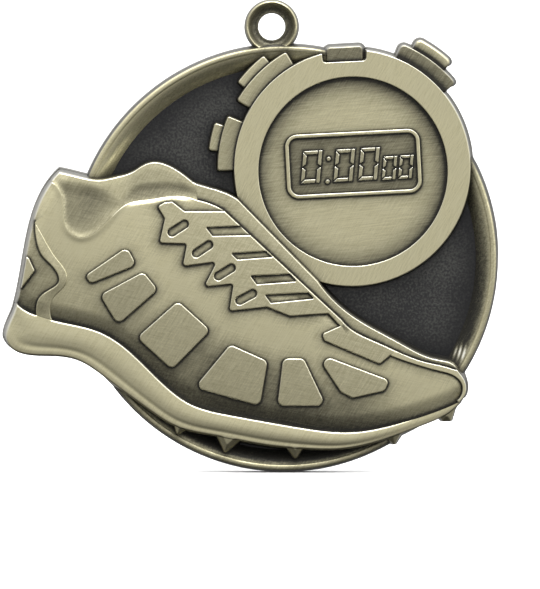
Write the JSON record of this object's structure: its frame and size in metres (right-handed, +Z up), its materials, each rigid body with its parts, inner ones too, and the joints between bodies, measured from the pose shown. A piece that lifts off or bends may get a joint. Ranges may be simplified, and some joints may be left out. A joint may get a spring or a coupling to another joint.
{
  "type": "sports finisher medal",
  "caption": "Round antique-bronze finisher medal with a raised rim, a stopwatch and a spiked running shoe in relief, and a loop for a neck ribbon.",
  "frame": {"origin": "centre of the round plaque, on its flat back", "axes": "+Z up towards the ribbon loop, -Y out of the front face, +X to the viewer's right"},
  "size_m": [0.0659, 0.0052, 0.0627],
  "materials": {
    "polished_relief": "antique bronze plate, brushed on the high parts and blackened in the recesses",
    "dark_field": "blackened antique finish with a fine leathery grain"
  },
  "bodies": {
    "root": {"backing_plate": "dark_field", "raised_rim": "polished_relief", "ribbon_loop": "polished_relief", "stopwatch_case": "polished_relief", "stopwatch_dial": "polished_relief", "display_frame": "polished_relief", "display_digits": "polished_relief", "stopwatch_crown": "polished_relief", "left_button_collar": "polished_relief", "left_button_cap": "polished_relief", "upper_left_button_collar": "polished_relief", "upper_left_button_cap": "polished_relief", "right_button_collar": "polished_relief", "right_button_cap": "polished_relief", "shoe_upper": "polished_relief", "ankle_collar": "polished_relief", "far_side_band": "polished_relief", "shoe_sole": "polished_relief", "lace_panel": "polished_relief", "toe_patch": "polished_relief", "toe_guard": "polished_relief", "side_pad_1": "polished_relief", "side_pad_2": "polished_relief", "side_pad_3": "polished_relief", "side_pad_4": "polished_relief", "side_pad_5": "polished_relief", "side_pad_6": "polished_relief", "heel_strap": "polished_relief", "heel_patch": "polished_relief", "sole_spikes": "polished_relief"}
  },
  "joints": []
}
